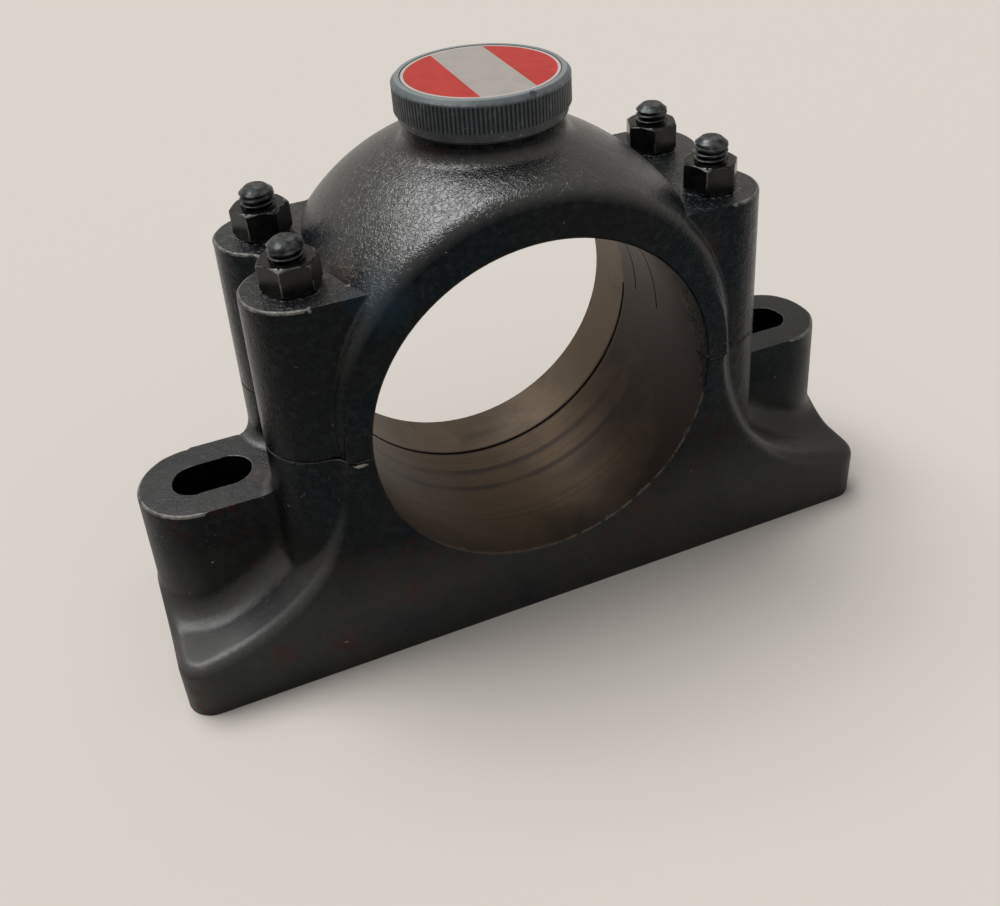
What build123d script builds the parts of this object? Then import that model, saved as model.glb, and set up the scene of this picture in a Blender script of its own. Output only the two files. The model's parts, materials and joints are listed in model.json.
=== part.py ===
from build123d import *
from math import cos, pi, radians, sin, sqrt, tan
import os

# Split plummer block: a cast base and a cast cap that clamp round one bore, held
# together by four studs and nuts, with a knurled screw plug on top of the cap.
# X runs along the foot, Y along the bore, Z up. The origin is on the underside,
# below the middle of the bore. All sizes are in millimetres.

os.makedirs("parts", exist_ok=True)

# Bearing seat
bore_diameter = 101.6
shaft_height = 73.0
body_depth = 73.4
mouth_chamfer = 0.5

# Foot
foot_thickness = 18.0
foot_corner_radius = 8.0
ring_wall = 7.4

# Foot bosses and their bolt slots
boss_width = 32.3
boss_height = 55.2
slot_length = 22.9
slot_width = 13.5
slot_inner_wall = 3.51
slot_outer_wall = 11.15
cast_draft = 1.4

# Studs, nuts and the columns that they stand on
stud_bore_wall = 5.44
stud_diameter = 9.525
stud_standout = 5.07
stud_lift = {"front_left": 0.0, "front_right": 1.5, "rear_left": 0.3, "rear_right": 0.3}
stud_tip_chamfer = 1.5
stud_grip = 22.0
tap_clearance = 0.03
cap_hole_diameter = 10.4
nut_across_flats = 14.29
nut_height = 8.33
nut_face_inset = 0.2
nut_bevel_angle = 30.0
nut_clearance = 0.05
nut_turns = {"front_left": 1.0, "front_right": -8.0, "rear_left": -7.0, "rear_right": 9.0}
lobe_gap = 4.72
column_draft = 1.1
column_height = 45.6
column_inset = 4.46
column_root_depth = 50.0
web_wall = 0.6
lobe_notch_radius = 2.5

# Barrel of the cap
barrel_rise = 6.0
barrel_wall = 15.2
barrel_crown_drop = 8.4
barrel_edge_radius = 6.0

# Neck, screw plug, gasket and label
neck_standout = 1.6
neck_length = 20.0
neck_wall = 3.3
neck_fillet = 5.0
thread_diameter = 38.0
thread_clearance = 0.08
grease_passage_diameter = 4.8
gasket_thickness = 0.8
gasket_inset = 0.1
gasket_clearance = 0.4
plug_overhang = 1.6
plug_band_inset = 0.9
plug_band_height = 2.4
plug_knurl_height = 7.0
plug_rim_height = 1.7
plug_rim_width = 2.35
plug_rim_bevel = 1.2
spigot_length = 8.0
spigot_end_gap = 1.8
spigot_wall = 5.0
spigot_chamfer = 0.8
plug_core_rise = 5.0
knurl_count = 128
knurl_depth = 0.55
knurl_crest = 0.5
label_thickness = 0.4
label_clearance = 0.25
label_sink = 0.1

# Turned grooves in the bore, and the dowels in the joint
base_groove_y = 16.3
base_groove_width = 1.1
cap_groove_y = (7.6, -6.0)
cap_groove_width = 0.6
cap_groove_margin = 2.0
groove_depth = 0.8
dowel_diameter = 6.35
dowel_length = 12.7
dowel_inset = 2.0
dowel_clearance = 0.02
dowel_hole_relief = 0.4
dowel_chamfer = 0.6

# Small radii of the castings
boss_fillet = 8.0
column_fillet = 4.0
wing_fillet = 1.5
ring_edge_radius = 1.2
rim_fillet = 4.0
end_stock = 20.0

bore_radius = bore_diameter / 2
half_depth = body_depth / 2
ring_radius = bore_radius + ring_wall
stud_radius = stud_diameter / 2
lobe_radius = (half_depth - column_inset - lobe_gap / 2) / 2
stud_x = bore_radius + stud_bore_wall + stud_radius
stud_y = lobe_gap / 2 + lobe_radius
stud_bottom_z = shaft_height - stud_grip
stud_length = stud_grip + column_height + nut_height + stud_standout
pad_z = shaft_height + column_height
slot_x = stud_x + lobe_radius + slot_inner_wall + slot_length / 2
half_length = slot_x + slot_length / 2 + slot_outer_wall
boss_root_radius = boss_width / 2 + boss_height * tan(radians(cast_draft))
boss_centre = half_length - boss_root_radius
barrel_radius = bore_radius + barrel_wall
barrel_z = shaft_height + barrel_rise
thread_radius = thread_diameter / 2
neck_radius = thread_radius + neck_wall
neck_z = barrel_z + barrel_radius + neck_standout
plug_z = neck_z + gasket_thickness
plug_radius = neck_radius + plug_overhang
recess_radius = plug_radius - plug_rim_width
dowel_radius = dowel_diameter / 2
dowel_x = stud_x - dowel_inset


def bore_cylinder(radius, length):
    """A cylinder along the bore's axis."""
    return Pos(0, 0, shaft_height) * (Rotation(90, 0, 0) * Cylinder(radius, length))


def column_plan(radius):
    """Plan of the four columns: two wings, each with a round lobe at each stud."""
    wing = Rectangle(2 * stud_x, 2 * (stud_y + radius))
    web = Rectangle(2 * (barrel_radius + web_wall), 2 * stud_y)
    lobes = [Pos(x, y) * Circle(radius) for x in (-stud_x, stud_x) for y in (-stud_y, stud_y)]
    plan = wing + web + lobes
    notches = [v for v in plan.vertices() if abs(v.X) > stud_x and abs(v.Y) < stud_y]
    return fillet(notches, lobe_notch_radius)


def half_space(above):
    """A block over or under the joint plane, larger than the housing."""
    size = 4 * half_length
    middle = shaft_height + (size / 2 if above else -size / 2)
    return Pos(0, 0, middle) * Box(size, size, size)


def seam(joined, pieces, low, high):
    """The edges where pieces run into each other, between two heights."""
    seams = new_edges(*pieces, combined=joined)
    return [e for e in seams if low < (e @ 0.5).Z < high]


def foot_and_web():
    """The full-depth body of the base: a foot that sweeps up to the joint plane."""
    reach = half_length - ring_radius
    rise = shaft_height - foot_thickness
    far = half_length + end_stock
    underside = Line((0, 0), (far, 0))
    end = Line((far, 0), (far, foot_thickness))
    ledge = Line((far, foot_thickness), (half_length, foot_thickness))
    sweep = EllipticalCenterArc((half_length, shaft_height), reach, rise, 180, arc_size=90)
    joint = Line((ring_radius, shaft_height), (0, shaft_height))
    middle = Line((0, shaft_height), (0, 0))
    half = make_face([underside, end, ledge, sweep, joint, middle])
    outline = Plane.XZ * (half + mirror(half, about=Plane.YZ))
    return extrude(outline, amount=half_depth, both=True)


def foot_bosses():
    """The two round-ended bosses on the foot, with the taper of the mould."""
    plan = SlotCenterToCenter(2 * boss_centre, 2 * boss_root_radius)
    return extrude(plan, amount=boss_height, taper=cast_draft)


def base_columns():
    """The columns under the joint plane, which fade into the sweep of the foot."""
    plan = Pos(0, 0, shaft_height) * column_plan(lobe_radius)
    return extrude(plan, amount=-column_root_depth, taper=-column_draft)


def foot_slots():
    """The two bolt slots through the foot bosses."""
    slot = SlotOverall(slot_length, slot_width)
    pair = Sketch() + [Pos(x, 0) * slot for x in (-slot_x, slot_x)]
    return extrude(pair, amount=boss_height + 1)


def stud_places():
    """The four stud positions, by the name of the corner."""
    rows = {"front": -stud_y, "rear": stud_y}
    sides = {"left": -stud_x, "right": stud_x}
    return {f"{row}_{side}": (x, y) for row, y in rows.items() for side, x in sides.items()}


def ring_groove(y, width, start, sweep):
    """A narrow turned groove in the bore wall, upwards from one angle over a part turn."""
    outer = bore_radius + groove_depth
    section = Pos(outer / 2, y) * Rectangle(outer, width)
    groove = revolve(section, Axis.Y, sweep)
    return Pos(0, 0, shaft_height) * (Rotation(0, -start - sweep, 0) * groove)


def bore_space():
    """What is machined out of base and cap together: the bore and its two mouths."""
    mouth = half_depth - mouth_chamfer
    wide = bore_radius + mouth_chamfer
    points = [(0, -half_depth), (wide, -half_depth), (bore_radius, -mouth)]
    points += [(bore_radius, mouth), (wide, half_depth), (0, half_depth)]
    section = make_face(Polyline(points, close=True))
    return Pos(0, 0, shaft_height) * revolve(section, Axis.Y, 360)


def drilled(places, radius, low, high):
    """Upright round holes at the given places, between two heights."""
    hole = Pos(0, 0, (low + high) / 2) * Cylinder(radius, high - low)
    return [Pos(x, y) * hole for x, y in places]


def dowel_places():
    """The two dowel positions, between the studs of each side."""
    return {"left": (-dowel_x, 0), "right": (dowel_x, 0)}


def rim_edges(body):
    """The outer edges of the foot and its sweeps, which the mould rounds over."""
    rim = []
    for edge in body.edges():
        ends = (edge @ 0, edge @ 1)
        flat = min(p.Z for p in ends) > foot_thickness - 1 and (edge @ 0.5).Z < shaft_height - 1
        on_side = all(abs(p.Y) > half_depth - 0.01 for p in ends)
        on_end = all(abs(p.X) > half_length - 0.01 for p in ends)
        in_corner = all(abs(p.X) > half_length - foot_corner_radius - 0.01 for p in ends)
        outside = all(abs(p.Y) > half_depth - foot_corner_radius - 0.01 for p in ends)
        if flat and (on_side or on_end or (in_corner and outside)):
            rim.append(edge)
    return rim


def make_base():
    """Base casting: foot, bosses and columns blended together, then machined."""
    web = foot_and_web()
    bosses = foot_bosses()
    body = web + bosses
    body = fillet(seam(body, (web, bosses), 0, boss_height - 1), boss_fillet)
    columns = base_columns()
    joined = body + columns
    body = fillet(seam(joined, (body, columns), 0, shaft_height - 0.1), column_fillet)
    body &= Pos(0, 0, shaft_height / 2) * Box(2 * half_length, body_depth, shaft_height)
    corners = [e for e in body.edges().filter_by(Axis.Z) if abs(e.center().X) > half_length - 1]
    body = fillet(corners, foot_corner_radius)
    body = fillet(rim_edges(body), rim_fillet)
    body -= bore_space()
    body -= ring_groove(base_groove_y, base_groove_width, 180, 180)
    body -= foot_slots()
    for corner, place in stud_places().items():
        stud_low = stud_bottom_z + stud_lift[corner]
        body -= drilled([place], stud_radius + tap_clearance, stud_low, shaft_height)
    dowel_low = shaft_height - dowel_length / 2
    body -= drilled(dowel_places().values(), dowel_radius + dowel_clearance, dowel_low, shaft_height)
    return body


def barrel():
    """The crowned barrel of the cap, turned about an axis above the bore's own."""
    end = (barrel_radius - barrel_crown_drop, half_depth)
    far_end = (barrel_radius - barrel_crown_drop, -half_depth)
    crown = ThreePointArc(far_end, (barrel_radius, 0), end)
    sides = Polyline(end, (0, half_depth), (0, -half_depth), far_end)
    section = make_face([crown, sides])
    lips = [v for v in section.vertices() if v.X > 1]
    section = fillet(lips, barrel_edge_radius)
    return Pos(0, 0, barrel_z) * revolve(section, Axis.Y, 360)


def cap_wings():
    """The two flat-topped wings of the cap, each with a lobe at each stud."""
    plan = Pos(0, 0, shaft_height) * column_plan(lobe_radius)
    return extrude(plan, amount=column_height, taper=column_draft)


def make_cap():
    """Cap casting: ring, barrel, wings and neck blended together, then machined."""
    above = half_space(True)
    ring = bore_cylinder(ring_radius, body_depth)
    ring = fillet(ring.edges(), ring_edge_radius)
    neck = Pos(0, 0, neck_z - neck_length / 2) * Cylinder(neck_radius, neck_length)
    round_body = barrel()
    joined = round_body + neck
    dome = fillet(seam(joined, (round_body, neck), shaft_height, neck_z - 0.1), neck_fillet)
    dome = (ring & above) + (dome & above)
    wings = cap_wings()
    joined = dome + wings
    body = fillet(seam(joined, (dome, wings), shaft_height, pad_z - 0.1), wing_fillet)
    body -= bore_space()
    cap_groove_sweep = 180 - 2 * cap_groove_margin
    for y in cap_groove_y:
        body -= ring_groove(y, cap_groove_width, cap_groove_margin, cap_groove_sweep)
    thread_depth = spigot_length - gasket_thickness + spigot_end_gap
    body -= Pos(0, 0, neck_z - thread_depth / 2) * Cylinder(thread_radius, thread_depth)
    passage_radius = grease_passage_diameter / 2
    body -= drilled([(0, 0)], passage_radius, shaft_height, neck_z)
    body -= drilled(stud_places().values(), cap_hole_diameter / 2, shaft_height, pad_z)
    dowel_high = shaft_height + dowel_length / 2 + dowel_hole_relief
    body -= drilled(dowel_places().values(), dowel_radius + dowel_clearance, shaft_height, dowel_high)
    return body


def make_stud(x, y, lift):
    """A stud on the bottom of its own hole, with a bevelled tip."""
    stud = Cylinder(stud_radius, stud_length)
    stud = chamfer(stud.edges().group_by(Axis.Z)[-1], stud_tip_chamfer)
    return Pos(x, y, stud_bottom_z + lift + stud_length / 2) * stud


def make_nut(x, y, turn):
    """A hexagon nut on its pad, with both faces bevelled at the corners."""
    corner_radius = nut_across_flats / sqrt(3)
    face_radius = nut_across_flats / 2 - nut_face_inset
    bevel = (corner_radius - face_radius) * tan(radians(nut_bevel_angle))
    half = nut_height / 2
    points = [(0, -half), (face_radius, -half), (corner_radius, bevel - half)]
    points += [(corner_radius, half - bevel), (face_radius, half), (0, half)]
    turned = revolve(Plane.XZ * make_face(Polyline(points, close=True)), Axis.Z, 360)
    hexagon = extrude(RegularPolygon(corner_radius, 6), amount=half, both=True)
    nut = (hexagon & turned) - Cylinder(stud_radius + nut_clearance, nut_height)
    return Pos(x, y, pad_z + half) * (Rotation(0, 0, turn) * nut)


def make_dowel(x, y):
    """A plain locating dowel, half in the base and half in the cap."""
    dowel = Cylinder(dowel_radius, dowel_length)
    dowel = chamfer(dowel.edges().filter_by(GeomType.CIRCLE), dowel_chamfer)
    return Pos(x, y, shaft_height) * dowel


def knurled_plan():
    """Plan of the plug's head: flat-topped ribs with a V groove between each pair."""
    pitch = 2 * pi / knurl_count
    points = []
    for index in range(knurl_count):
        for share, radius in ((0.0, plug_radius), (knurl_crest, plug_radius), (0.75, plug_radius - knurl_depth)):
            angle = pitch * (index + share)
            points.append((radius * cos(angle), radius * sin(angle)))
    return make_face(Polyline(points, close=True))


def make_plug():
    """Screw plug: spigot, plain band, knurled grip and a bevelled rim, cored from below."""
    knurl_z = plug_z + plug_band_height
    rim_z = knurl_z + plug_knurl_height
    top_z = rim_z + plug_rim_height
    band = Pos(0, 0, plug_z + plug_band_height / 2) * Cylinder(plug_radius - plug_band_inset, plug_band_height)
    grip = Pos(0, 0, knurl_z) * extrude(knurled_plan(), amount=plug_knurl_height)
    rim = Pos(0, 0, (rim_z + top_z) / 2) * Cylinder(plug_radius, plug_rim_height)
    rim = chamfer(rim.edges().group_by(Axis.Z)[-1], plug_rim_bevel)
    spigot_radius = thread_radius - thread_clearance
    spigot_low = plug_z - spigot_length
    spigot = Pos(0, 0, (spigot_low + plug_z) / 2) * Cylinder(spigot_radius, spigot_length)
    spigot = chamfer(spigot.edges().group_by(Axis.Z)[0], spigot_chamfer)
    plug = band + grip + rim + spigot
    core_depth = spigot_length + plug_core_rise
    plug -= Pos(0, 0, spigot_low + core_depth / 2) * Cylinder(thread_radius - spigot_wall, core_depth)
    recess_depth = label_thickness + label_sink
    plug -= Pos(0, 0, top_z - recess_depth / 2) * Cylinder(recess_radius, recess_depth)
    return plug


def make_label():
    """The round label, laid on the floor of the recess in the plug's top."""
    top_z = plug_z + plug_band_height + plug_knurl_height + plug_rim_height
    middle_z = top_z - label_sink - label_thickness / 2
    return Pos(0, 0, middle_z) * Cylinder(recess_radius - label_clearance, label_thickness)


def make_gasket():
    """The flat gasket between the neck and the plug's head."""
    ring = Cylinder(neck_radius - gasket_inset, gasket_thickness)
    ring -= Cylinder(thread_radius + gasket_clearance, gasket_thickness)
    return Pos(0, 0, neck_z + gasket_thickness / 2) * ring


parts = {"base": make_base(), "cap": make_cap()}
for corner, (x, y) in stud_places().items():
    parts[f"stud_{corner}"] = make_stud(x, y, stud_lift[corner])
    parts[f"nut_{corner}"] = make_nut(x, y, nut_turns[corner])
for side, (x, y) in dowel_places().items():
    parts[f"dowel_{side}"] = make_dowel(x, y)
parts["filler_plug"] = make_plug()
parts["plug_gasket"] = make_gasket()
parts["label_disc"] = make_label()

for node, solid in parts.items():
    export_step(solid, f"parts/{node}.step")
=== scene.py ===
# %% [markdown]
# # A split plummer block
# The block is a cast-iron housing in two halves. The cap is held to the base by four studs
# and nuts, and a knurled screw plug closes the neck on top. Its solids are already packed at
# their real size, so this script loads them as a fixed frame and works in metres from there.
# A solid whose shape is right only gets a finish. Castings, studs and nuts need more shape
# than that, and a loaded mesh must stay as it is, so new pieces stand for those.

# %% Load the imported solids
import json
from math import cos, pi, radians, sin

import bmesh
import bpy
from mathutils import Matrix, Vector, noise


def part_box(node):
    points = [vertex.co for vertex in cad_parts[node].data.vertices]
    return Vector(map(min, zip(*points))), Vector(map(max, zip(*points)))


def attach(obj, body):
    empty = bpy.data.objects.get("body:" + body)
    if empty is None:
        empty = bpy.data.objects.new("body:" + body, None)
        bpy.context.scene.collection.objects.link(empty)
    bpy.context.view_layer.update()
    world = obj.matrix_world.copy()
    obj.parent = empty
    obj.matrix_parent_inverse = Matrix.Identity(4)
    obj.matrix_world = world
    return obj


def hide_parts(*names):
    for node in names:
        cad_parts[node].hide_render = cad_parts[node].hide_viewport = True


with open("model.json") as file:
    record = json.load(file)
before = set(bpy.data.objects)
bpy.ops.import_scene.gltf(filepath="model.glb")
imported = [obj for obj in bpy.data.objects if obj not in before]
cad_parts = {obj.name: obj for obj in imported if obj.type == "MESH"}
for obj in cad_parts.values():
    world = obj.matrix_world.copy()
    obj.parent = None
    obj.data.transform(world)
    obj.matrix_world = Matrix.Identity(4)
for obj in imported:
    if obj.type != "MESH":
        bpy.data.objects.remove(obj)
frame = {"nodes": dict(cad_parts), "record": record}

scene = bpy.context.scene
scene.view_settings.view_transform = "Standard"
MM = 0.001
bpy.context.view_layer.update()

# %% [markdown]
# ## Key places
# Everything that follows hangs on a few places: the bore's axis, the joint between the two
# halves, the pads under the nuts and the neck under the plug. They could be typed in, but a
# change to the solids would then leave the dressing behind, so they are read from the solids.

# %% Read the key places from the solids
solids = frame["nodes"]
stud_names = sorted(name for name in solids if name.startswith("stud_"))
nut_names = sorted(name for name in solids if name.startswith("nut_"))
base_high, plug_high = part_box("base")[1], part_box("filler_plug")[1]
joint_z, half_depth = base_high.z, base_high.y
plug_z, plug_radius = plug_high.z, plug_high.x
neck_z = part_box("cap")[1].z
pad_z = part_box(nut_names[0])[0].z
label_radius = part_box("label_disc")[1].x
stud_low, stud_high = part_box(stud_names[0])
stud_radius = (stud_high.x - stud_low.x) / 2
stud_x = abs(stud_high.x + stud_low.x) / 2
stud_y = abs(stud_high.y + stud_low.y) / 2

mounts = {mount["name"]: mount["dims"] for mount in frame["record"]["mounts"]}
bore_radius = mounts["bearing_bore"]["r_mm"] * MM
foot_slots = mounts["foot_slots"]
slot_x = foot_slots["spacing_x_mm"] / 2 * MM
slot_reach = (foot_slots["slot_length_mm"] / 2 - foot_slots["hole_r_mm"]) * MM
boss_z = max(v.co.z for v in solids["base"].data.vertices if abs(v.co.x) > slot_x)
print("joint", joint_z, "pads", pad_z, "bosses", boss_z, "neck", neck_z, "bore", bore_radius)

# %% [markdown]
# ## The view
# The block is seen from its front left, from above, with a moderate lens. The camera could be
# aimed with a Track To constraint, but a matrix built from three angles can also hold a slight
# roll. Its columns are the camera's right, up and backward directions.

# %% Place the camera
camera_place = Vector((-96.96, -265.93, 251.93)) * MM
camera_yaw, camera_pitch, camera_roll = 0.3704, 0.5694, -0.0603
camera_lens, sensor_width = 39.54, 36.0
camera_shift = (-0.0196, -0.104)

level = Vector((cos(camera_yaw), -sin(camera_yaw), 0))
ahead = Vector((sin(camera_yaw), cos(camera_yaw), 0))
forward = ahead * cos(camera_pitch) - Vector((0, 0, sin(camera_pitch)))
rise = level.cross(forward)
right = cos(camera_roll) * level + sin(camera_roll) * rise
up = cos(camera_roll) * rise - sin(camera_roll) * level
axes = Matrix((right, up, -forward)).transposed()

camera = bpy.data.objects.new("camera", bpy.data.cameras.new("camera"))
camera.data.lens = camera_lens
camera.data.sensor_width = sensor_width
camera.data.shift_x, camera.data.shift_y = camera_shift
camera.data.clip_start = 10 * MM
camera.matrix_world = Matrix.Translation(camera_place) @ axes.to_4x4()
scene.collection.objects.link(camera)
scene.camera = camera
print("camera looks along", [round(v, 3) for v in forward])

# %% [markdown]
# ## Colours and nodes
# Colours are written as sRGB hex values, the way a swatch shows them, but shaders work in
# linear light, so one function turns each value. Nodes could be added and linked one line at
# a time, but a material has dozens of them. One small function adds a node of any kind, sets
# its properties and sets or links its inputs, so each line reads as one step of the finish.
# A pattern's scale is features per metre, so it is worked out from a size in millimetres.

# %% Turn a colour to linear light
def linear(hex_colour):
    """An sRGB hex colour as linear red, green, blue and alpha."""
    channels = [int(hex_colour[i:i + 2], 16) / 255 for i in (1, 3, 5)]
    light = [c / 12.92 if c <= 0.04045 else ((c + 0.055) / 1.055) ** 2.4 for c in channels]
    return light + [1.0]


print("mid grey in linear light:", [round(c, 3) for c in linear("#808080")[:3]])


# %% Helpers for nodes and materials
def wire(tree, node, inputs):
    """Links each named input of a node to a socket, or sets it to a value."""
    for name, value in inputs.items():
        if isinstance(value, bpy.types.NodeSocket):
            tree.links.new(value, node.inputs[name])
        else:
            node.inputs[name].default_value = value


def add(tree, kind, inputs=None, out=0, **settings):
    """Adds a node, sets its properties, wires its inputs, and gives one of its outputs."""
    node = tree.nodes.new("ShaderNode" + kind)
    for name, value in settings.items():
        setattr(node, name, value)
    wire(tree, node, inputs or {})
    return node.outputs[out] if node.outputs else node


def new_material(name):
    """A node material with one shader, and the place on the object that patterns follow."""
    material = bpy.data.materials.new(name)
    material.use_nodes = True
    tree = material.node_tree
    tree.nodes.clear()
    shader = add(tree, "BsdfPrincipled").node
    add(tree, "OutputMaterial", {"Surface": shader.outputs["BSDF"]})
    place = add(tree, "TexCoord", out="Object")
    return material, tree, shader, place


def per_metre(size_mm):
    """How many features of a pattern fit in a metre, if one has this size."""
    return 1000 / size_mm


# In a colour Mix node, inputs 6 and 7 are the two colours and output 2 is the result.
COLOUR = {"data_type": "RGBA", "out": 2}
print("features of 4 mm in a metre:", per_metre(4))

# %% [markdown]
# ## Floor and light
# The block stands on a plain warm white sheet. Glossy dark enamel shows little of its own
# colour: what the eye sees is the room in it. Several small lamps would put hard glints on
# every rim, so one broad ceiling lamp, a little to the left and behind, draws the sheen on
# the shoulders. An even grey room fills the rest, and glossy surfaces see the same pale wall
# as the camera does.

# %% Make the floor
floor_size, floor_gap = 6.0, 0.05 * MM
floor_mesh = bpy.data.meshes.new("floor")
sheet = bmesh.new()
bmesh.ops.create_grid(sheet, x_segments=1, y_segments=1, size=floor_size / 2)
sheet.to_mesh(floor_mesh)
sheet.free()
floor = bpy.data.objects.new("floor", floor_mesh)
floor.location.z = -floor_gap
scene.collection.objects.link(floor)
floor_paper, tree, shader, place = new_material("warm_white_paper")
wire(tree, shader, {"Base Color": linear("#dbd4cc"), "Roughness": 0.9,
                    "Specular IOR Level": 0.1})
floor_mesh.materials.append(floor_paper)
print("floor", floor_size, "m square")

# %% Light the scene
# The lamp stands this far round from straight behind, and this high.
lamp_turn, lamp_climb = radians(-42), radians(67)
lamp_strength, lamp_breadth = 2.3, radians(42)
ceiling_lamp = bpy.data.lights.new("ceiling_lamp", "SUN")
ceiling_lamp.energy = lamp_strength
ceiling_lamp.angle = lamp_breadth
towards = Vector((sin(lamp_turn) * cos(lamp_climb), cos(lamp_turn) * cos(lamp_climb),
                  sin(lamp_climb)))
lamp_holder = bpy.data.objects.new("ceiling_lamp", ceiling_lamp)
lamp_holder.rotation_euler = towards.to_track_quat("Z", "Y").to_euler()
scene.collection.objects.link(lamp_holder)

room_light, wall_light = 0.45, 0.72
world = bpy.data.worlds.new("room")
world.use_nodes = True
scene.world = world
tree = world.node_tree
tree.nodes.clear()
room = add(tree, "Background", {"Color": linear("#dcdcdc"), "Strength": room_light})
wall = add(tree, "Background", {"Color": linear("#dbd4cc"), "Strength": wall_light})
ray = add(tree, "LightPath").node.outputs
seen = ray["Is Camera Ray"]
for kind in ("Is Glossy Ray", "Is Transmission Ray"):
    seen = add(tree, "Math", {0: seen, 1: ray[kind]}, operation="MAXIMUM")
both = add(tree, "MixShader", {0: seen, 1: room, 2: wall})
add(tree, "OutputWorld", {"Surface": both})
print("the lamp stands towards", [round(v, 2) for v in towards])

# %% [markdown]
# ## Castings with fettled edges
# No edge of a sand casting is sharp: the mould rounds it, the fettler's wheel leaves it a
# little wavy, and the paint fills it. The solids have crisp rims on the bosses and the pads,
# so each casting gets a copy whose rims are divided, moved a little and bevelled. A Bevel
# modifier with an angle limit would also round the machined bore, so the edges are chosen by
# where they lie, and measures from the bore, the studs and the slots say where that is.

# %% Copy a solid and find its corners
merge_distance = 0.06 * MM
flat_angle = radians(0.3)
corner_angle = radians(30)
level_margin = 0.02 * MM


def merged_copy(node):
    """A bmesh of a solid with its loose triangles joined and its flat faces made whole."""
    form = bmesh.new()
    form.from_mesh(solids[node].data)
    bmesh.ops.remove_doubles(form, verts=form.verts, dist=merge_distance)
    bmesh.ops.dissolve_limit(form, angle_limit=flat_angle, verts=form.verts, edges=form.edges)
    return form


def corner_edges(form, height=None):
    """The outward corners of a form, at one height if it is given."""
    corners = [e for e in form.edges
               if e.is_manifold and e.is_convex and e.calc_face_angle() > corner_angle]
    if height is None:
        return corners
    return [e for e in corners if all(abs(v.co.z - height) < level_margin for v in e.verts)]


print("joins vertices closer than", merge_distance / MM, "mm")


# %% Measure where an edge lies
def middle(edge):
    """The middle point of an edge."""
    return (edge.verts[0].co + edge.verts[1].co) / 2


def from_bore_axis(point):
    """How far a point lies from the axis of the bore."""
    return Vector((point.x, point.z - joint_z)).length


def from_stud(point):
    """How far a point lies from the nearest stud's axis."""
    return Vector((abs(point.x) - stud_x, abs(point.y) - stud_y)).length


def from_dowel(point):
    """How far a point lies from the nearest dowel's axis, which is between two studs."""
    return Vector((abs(point.x) - stud_x, point.y)).length


def from_slot(point):
    """How far a point lies from the middle line of the nearest bolt slot."""
    return Vector((max(0, abs(abs(point.x) - slot_x) - slot_reach), point.y)).length


print("middle of the block to a stud:", round(from_stud(Vector((0, 0, 0))) / MM, 1), "mm")

# %% Divide and cut edges
rim_step = 1.3 * MM


def edges_in(made):
    """The edges among the parts that a bmesh operator gives."""
    return [part for part in made if isinstance(part, bmesh.types.BMEdge)]


def once(parts):
    """The parts in their order and each one once, so that every run gives the same mesh."""
    return list(dict.fromkeys(parts))


def divided(form, edges):
    """Divides long edges into steps of about the same length, and gives all their parts."""
    parts = [e for e in edges if e.calc_length() < 2 * rim_step]
    for edge in [e for e in edges if e not in parts]:
        cuts = int(edge.calc_length() / rim_step)
        made = bmesh.ops.subdivide_edges(form, edges=[edge], cuts=cuts)
        parts += edges_in(made["geom_inner"])
    return [e for e in once(parts) if e.is_valid]


def cut(form, faces, place, facing):
    """Cuts faces along a plane, and gives the edges of the cut."""
    edges = [e for f in faces for e in f.edges]
    parts = once(faces + edges + [v for f in faces for v in f.verts])
    made = bmesh.ops.bisect_plane(form, geom=parts, dist=level_margin / 10, plane_co=place,
                                  plane_no=facing)
    return edges_in(made["geom_cut"])


print("rims are divided every", rim_step / MM, "mm")

# %% Move and round edges
# A slow wave from the fettler's wheel carries a quick one, half as high, from the sand. The
# noise would start from the clock, so it gets a seed, and every run gives the same rims.
wave_seed = 3
slow_wave, quick_wave, quick_share = 9 * MM, 2.2 * MM, 0.5
noise.seed_set(wave_seed)


def fettle(edges, amount):
    """Moves the corners of edges sideways by a soft, wavy distance."""
    for vert in once(v for e in edges for v in e.verts):
        slow = noise.noise_vector(vert.co / slow_wave)
        quick = noise.noise_vector(vert.co / quick_wave)
        move = (slow + quick_share * quick) * amount
        vert.co += Vector((move.x, move.y, 0))


def soften(form, edges, width, wear, worn):
    """Rounds the given edges over and marks the new faces as worn."""
    made = bmesh.ops.bevel(form, geom=edges, offset=width, offset_type="OFFSET", segments=3,
                           profile=0.5, affect="EDGES", clamp_overlap=False, material=-1)
    for face in made["faces"]:
        face[wear] = worn
    return len(made["faces"])


print("rims wave every", slow_wave / MM, "and", quick_wave / MM, "mm")

# %% [markdown]
# ## Rims of the base and the cap
# The rims are not alike: boss and pad rims are well rounded, the slots keep a narrow edge, and
# the corners at the joint get only a fine bevel, which leaves a dark line between the halves.
# Moving a rim would also bend the tall wall below it, so the wall is first cut just under the
# rim, and only that strip moves. The flat of a pad runs out in a cusp beside the barrel. A
# bevel that ends partway along an edge leaves a torn facet, so the pad is cut where it ends.

# %% Shape the castings
cast_rim, slot_rim, joint_rim = 0.8 * MM, 0.35 * MM, 0.45 * MM
pad_wave, boss_wave, slot_wave = 0.20 * MM, 0.25 * MM, 0.45 * MM
joint_wear, slot_wear = 0.35, 0.3
bore_margin, stud_margin, dowel_margin = 2.0 * MM, 7.0 * MM, 6.0 * MM
boss_margin = 11.0 * MM
cusp_x = 49.0 * MM
strip = 2.2 * MM


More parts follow.
